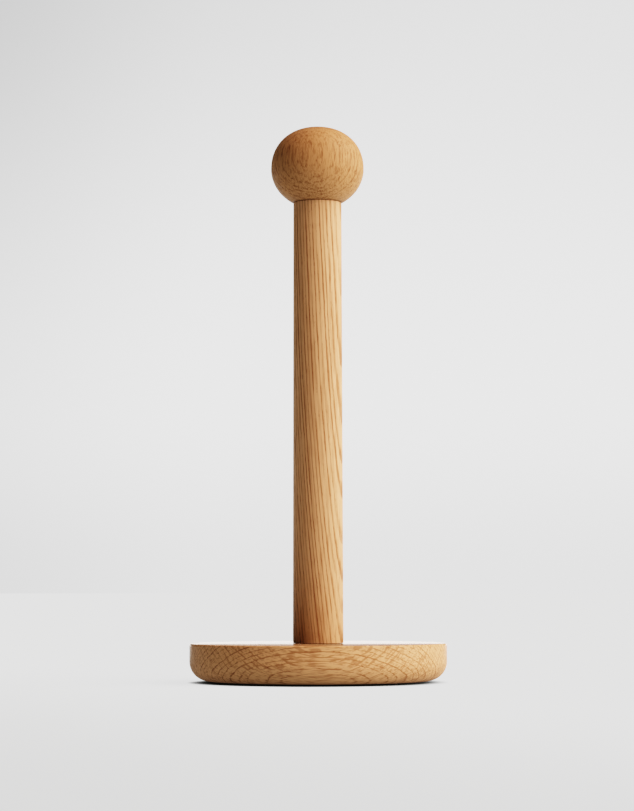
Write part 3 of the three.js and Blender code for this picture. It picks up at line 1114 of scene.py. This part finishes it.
def metal_material(name, bright, dull, rough_low, rough_high, cloud, lathe):
    """Metal with cloudy patches of the given size in mm, and fine turning rings of a given depth."""
    material, tree, shader, coordinates = new_material(name, Metallic=1.0)
    place = in_mm(tree, coordinates)
    spread = (1 / cloud, 1 / cloud, 1 / cloud)
    patch = noise(tree, vector_sums(tree, "MULTIPLY", place, spread), 3.0).outputs[0]
    x, y, z = add(tree, "SeparateXYZ", {0: place}).outputs
    reach = vector_sums(tree, "LENGTH", add(tree, "CombineXYZ", {"X": x, "Y": y}).outputs[0])
    outward = sums(tree, "MULTIPLY", reach, RINGS_PER_MM)
    upward = sums(tree, "MULTIPLY", z, RINGS_PER_MM)
    rings = add(tree, "CombineXYZ", {"X": outward, "Z": upward})
    cut = noise(tree, rings.outputs[0], 2.0).outputs[0]
    wear = use_group(tree, edge_wear, {"Position": place, "Width": 0.3, "Amount": 0.6})
    colour = blend_colours(tree, ramp(tree, patch, 0.35, 0.65), bright, dull)
    colour = blend_colours(tree, wear["Mask"], colour, bright)
    tree.links.new(colour, shader.inputs["Base Color"])
    rough = ramp(tree, patch, 0.3, 0.7, rough_low, rough_high)
    rough = sums(tree, "ADD", rough, sums(tree, "MULTIPLY", cut, 0.08))
    tree.links.new(rough, shader.inputs["Roughness"])
    bump(tree, shader, cut, lathe, 0.5)
    return material


BRIGHT_ZINC = (0.62, 0.63, 0.65, 1)
DULL_ZINC = (0.44, 0.46, 0.48, 1)
BRIGHT_BRASS = (0.78, 0.56, 0.22, 1)
DULL_BRASS = (0.58, 0.38, 0.13, 1)

zinc = metal_material("zinc plate", BRIGHT_ZINC, DULL_ZINC, 0.28, 0.42, cloud=2.5, lathe=0.01 * MM)
brass = metal_material("brass", BRIGHT_BRASS, DULL_BRASS, 0.25, 0.38, cloud=4.0, lathe=0.02 * MM)
print("metals", zinc.name, "and", brass.name)

# %% [markdown]
# ## Powder coat
#
# The weight has a baked black powder coat. Its orange-peel skin is a bump of small soft
# lumps, and its black is two near blacks in a slow haze, because one flat black would look
# like a hole. At the rims it is worn to grey, which the edge wear group finds.

# %% Powder coat
def powder_coat_material():
    material, tree, shader, coordinates = new_material("black powder coat")
    place = in_mm(tree, coordinates)
    skin = noise(tree, vector_sums(tree, "MULTIPLY", place, (1.4, 1.4, 1.4)), 2.0, 0.4).outputs[0]
    haze = noise(tree, vector_sums(tree, "MULTIPLY", place, (0.07, 0.07, 0.07)), 4.0).outputs[0]
    wear = use_group(tree, edge_wear, {"Position": place, "Width": 0.5, "Amount": 0.9})
    black, faded = (0.018, 0.018, 0.02, 1), (0.032, 0.031, 0.031, 1)
    colour = blend_colours(tree, ramp(tree, haze, 0.35, 0.65), black, faded)
    colour = blend_colours(tree, wear["Mask"], colour, (0.25, 0.25, 0.26, 1))
    tree.links.new(colour, shader.inputs["Base Color"])
    tree.links.new(ramp(tree, haze, 0.3, 0.7, 0.42, 0.56), shader.inputs["Roughness"])
    bump(tree, shader, skin, 0.06 * MM, 0.7)
    return material


powder_coat = powder_coat_material()
print("powder coat", len(powder_coat.node_tree.nodes), "nodes")

# %% [markdown]
# ## Rubber
#
# The feet are nearly black and dull. Rubber gathers dust in soft patches and scuffs to a
# paler grey at its rim, and a fine mould texture breaks up what little light it returns.

# %% Rubber
def rubber_material():
    material, tree, shader, coordinates = new_material("black rubber")
    place = in_mm(tree, coordinates)
    mould = noise(tree, vector_sums(tree, "MULTIPLY", place, (3, 3, 3)), 3.0).outputs[0]
    dust = noise(tree, vector_sums(tree, "MULTIPLY", place, (0.4, 0.4, 0.4)), 5.0, 0.65).outputs[0]
    wear = use_group(tree, edge_wear, {"Position": place, "Width": 0.6, "Amount": 0.5})
    clean, dusty = (0.02, 0.02, 0.021, 1), (0.07, 0.066, 0.06, 1)
    colour = blend_colours(tree, ramp(tree, dust, 0.45, 0.75), clean, dusty)
    colour = blend_colours(tree, wear["Mask"], colour, (0.09, 0.088, 0.085, 1))
    tree.links.new(colour, shader.inputs["Base Color"])
    tree.links.new(ramp(tree, dust, 0.3, 0.7, 0.7, 0.9), shader.inputs["Roughness"])
    bump(tree, shader, mould, 0.05 * MM, 0.6)
    return material


rubber = rubber_material()
print("rubber", len(rubber.node_tree.nodes), "nodes")

# %% [markdown]
# ## Putting it together
#
# Each fine piece now takes its material, rides on the body that it moves with, and stands in
# for its plain solid. The knob turns on the peg and the peg lifts out of the post, so the
# knob and the peg have bodies of their own, and all the rest belongs to the stand.

# %% Dress the pieces and tie them to their bodies
def fit(piece, node, body, material):
    piece.data.materials.clear()
    piece.data.materials.append(material)
    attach(piece, body)
    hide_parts(node)


fit(base, "base_disc", "stand", base_oak)
fit(post, "post", "stand", post_oak)
fit(knob, "knob", "knob", knob_oak)
fit(peg, "knob_peg", "peg", beech)
fit(bolt, "base_bolt", "stand", zinc)
fit(washer, "base_washer", "stand", zinc)
fit(insert, "post_insert", "stand", brass)
fit(plate, "ballast_plate", "stand", powder_coat)
for piece, node in zip(screws, screw_nodes):
    fit(piece, node, "stand", zinc)
for piece, node in zip(feet, foot_nodes):
    fit(piece, node, "stand", rubber)
dressed = [base, post, knob, peg, bolt, washer, insert, plate] + screws + feet
print(len(dressed), "pieces, each with its material", [piece.active_material.name for piece in dressed])

# %% [markdown]
# ## The floor
#
# The stand is on a wide pale floor, as in a studio. A floor with light alone falls into shade
# beside the stand, so this one has a brightness of its own for the eye: nearly even, fainter
# towards the front left, and with a soft painted shadow where the base almost touches it, which
# the ambient occlusion node finds. The painted shadow thins towards the light. The wood is lit from
# below by another brightness, strong towards the light and behind the stand, and weak close
# round the base, where the real floor lies in shade.

# %% The floor
FLOOR_SIZE = 60
FLOOR_SEEN = 1.07
FLOOR_TONE = (0.13, 0.165, 0.175, 1)
FRONT_LEFT = 0.74
TO_BACK_RIGHT = (2.0, 1.0, 0.0)
TO_KEY = (0.9, 0.35, 0.0)
CONTACT_SHADOW_REACH = 7 * MM
BOUNCE_DARK = 0.17
BOUNCE_BRIGHT = 0.95
BOUNCE_BEHIND = 0.9


def floor_finish():
    material = bpy.data.materials.new("pale floor")
    material.use_nodes = True
    tree = material.node_tree
    tree.nodes.clear()
    place = add(tree, "TexCoord").outputs["Object"]
    x, y, z = add(tree, "SeparateXYZ", {0: place}).outputs

    # What the eye sees: an even glow, with a painted contact shadow under the base.
    contact_shadow = add(tree, "AmbientOcclusion", {"Distance": CONTACT_SHADOW_REACH}, samples=8).outputs["AO"]
    line = sums(tree, "POWER", contact_shadow, ramp(tree, x, 0.03, 0.085, 2.2, 0.5))
    back_right = vector_sums(tree, "DOT_PRODUCT", place, TO_BACK_RIGHT)
    even = sums(tree, "MULTIPLY", line, ramp(tree, back_right, -1.25, -0.1, FRONT_LEFT, 1.0))
    even = sums(tree, "MULTIPLY", even, FLOOR_SEEN)

    # What the wood sees.
    toward_key = vector_sums(tree, "DOT_PRODUCT", place, TO_KEY)
    bounce = ramp(tree, toward_key, -0.3, 0.25, BOUNCE_DARK, BOUNCE_BRIGHT)
    bounce = sums(tree, "MAXIMUM", bounce, ramp(tree, y, 0.15, 0.8, 0.0, BOUNCE_BEHIND))
    from_axis = vector_sums(tree, "LENGTH", place)
    bounce = sums(tree, "MULTIPLY", bounce, ramp(tree, from_axis, 0.06, 0.1, 0.15, 1.1))

    seen = add(tree, "LightPath").outputs["Is Camera Ray"]
    own = add(tree, "Mix", {"Factor": seen, "A": bounce, "B": even}).outputs["Result"]
    glow = add(tree, "Emission", {"Strength": own}).outputs[0]
    lit = add(tree, "BsdfDiffuse", {"Color": FLOOR_TONE}).outputs[0]
    both = add(tree, "AddShader", {0: lit, 1: glow}).outputs[0]
    output = tree.nodes.new("ShaderNodeOutputMaterial")
    tree.links.new(both, output.inputs["Surface"])
    return material


clear_selection()
bpy.ops.mesh.primitive_plane_add(size=FLOOR_SIZE)
floor = bpy.context.object
floor.name = "floor"
floor.data.materials.append(floor_finish())
print("floor", tuple(floor.dimensions))

# %% [markdown]
# ## The light
#
# One broad warm source shines from the right, a little in front and above. It could be a
# softbox, but a lamp of the sun kind with a very wide disc gives the same soft shading and has
# no body that another view could catch.

# %% The key light
KEY_STRENGTH = 6.9
KEY_COLOUR = (1.0, 0.76, 0.68)
KEY_SPREAD = math.radians(74)
KEY_HEIGHT = math.radians(34)
KEY_SIDE = math.radians(78)

key_data = bpy.data.lights.new("key", "SUN")
key_data.energy = KEY_STRENGTH
key_data.color = KEY_COLOUR
key_data.angle = KEY_SPREAD
key = bpy.data.objects.new("key", key_data)
toward = Vector(
    (
        math.sin(KEY_SIDE) * math.cos(KEY_HEIGHT),
        -math.cos(KEY_SIDE) * math.cos(KEY_HEIGHT),
        math.sin(KEY_HEIGHT),
    )
)
key.rotation_euler = toward.to_track_quat("Z", "Y").to_euler()
scene.collection.objects.link(key)
print("key light from", tuple(round(v, 2) for v in toward))

# %% [markdown]
# ## The room
#
# The room's own light is slightly warm. It is dim in front, which gives the round shapes their
# shaded side, and stronger behind, with a bright band low down that the waxed top of the base
# mirrors as a pale sheen. The eye sees another backdrop: pale and nearly even, and a little
# darker at the top, in the upper left and down the left side. Filmic with high contrast then
# keeps the pale parts soft and the shades deep.

# %% The room's light and backdrop
WHITE = (1, 1, 1, 1)
GLOW_COLOUR = (1.0, 0.92, 0.84, 1)
DARK_SIDE = 0.047
GLOW_LOW = 0.5
GLOW_HIGH = 0.25
BAND = 3.2
FOOT_OF_BACKDROP = 1.24
MIDDLE_OF_BACKDROP = 1.5
DARKER_TOP = 0.3
DARKER_CORNER = 0.3
DARKER_LEFT = 0.2

world = bpy.data.worlds.new("studio")
world.use_nodes = True
scene.world = world
sky = world.node_tree
sky.nodes.clear()
aim_x, aim_y, aim_z = add(sky, "SeparateXYZ", {0: add(sky, "TexCoord").outputs["Generated"]}).outputs

# What lights the stand.
behind = ramp(sky, aim_z, 0.05, 0.35, GLOW_LOW, GLOW_HIGH)
behind = sums(sky, "ADD", behind, ramp(sky, aim_z, 0.02, 0.08, BAND, 0.0))
behind = sums(sky, "MULTIPLY", behind, ramp(sky, aim_x, -0.8, 0.0, 0.5, 1.0))
glow = ramp(sky, aim_y, -0.1, 0.35, DARK_SIDE, behind)

# What the eye sees.
backdrop = ramp(sky, aim_z, 0.0, 0.07, FOOT_OF_BACKDROP, MIDDLE_OF_BACKDROP)
backdrop = sums(sky, "SUBTRACT", backdrop, ramp(sky, aim_z, 0.08, 0.24, 0.0, DARKER_TOP))
corner = sums(sky, "SUBTRACT", aim_z, aim_x)
backdrop = sums(sky, "SUBTRACT", backdrop, ramp(sky, corner, 0.12, 0.36, 0.0, DARKER_CORNER))
backdrop = sums(sky, "SUBTRACT", backdrop, ramp(sky, aim_x, -0.14, -0.03, DARKER_LEFT, 0.0))

seen = add(sky, "LightPath").outputs["Is Camera Ray"]
level = add(sky, "Mix", {"Factor": seen, "A": glow, "B": backdrop}).outputs["Result"]
tint = blend_colours(sky, seen, GLOW_COLOUR, WHITE)
light = add(sky, "Background", {"Color": tint, "Strength": level})
sky_output = sky.nodes.new("ShaderNodeOutputWorld")
sky.links.new(light.outputs[0], sky_output.inputs["Surface"])

scene.view_settings.view_transform = "Filmic"
scene.view_settings.look = "High Contrast"
print("room", len(sky.nodes), "nodes, view", scene.view_settings.view_transform)
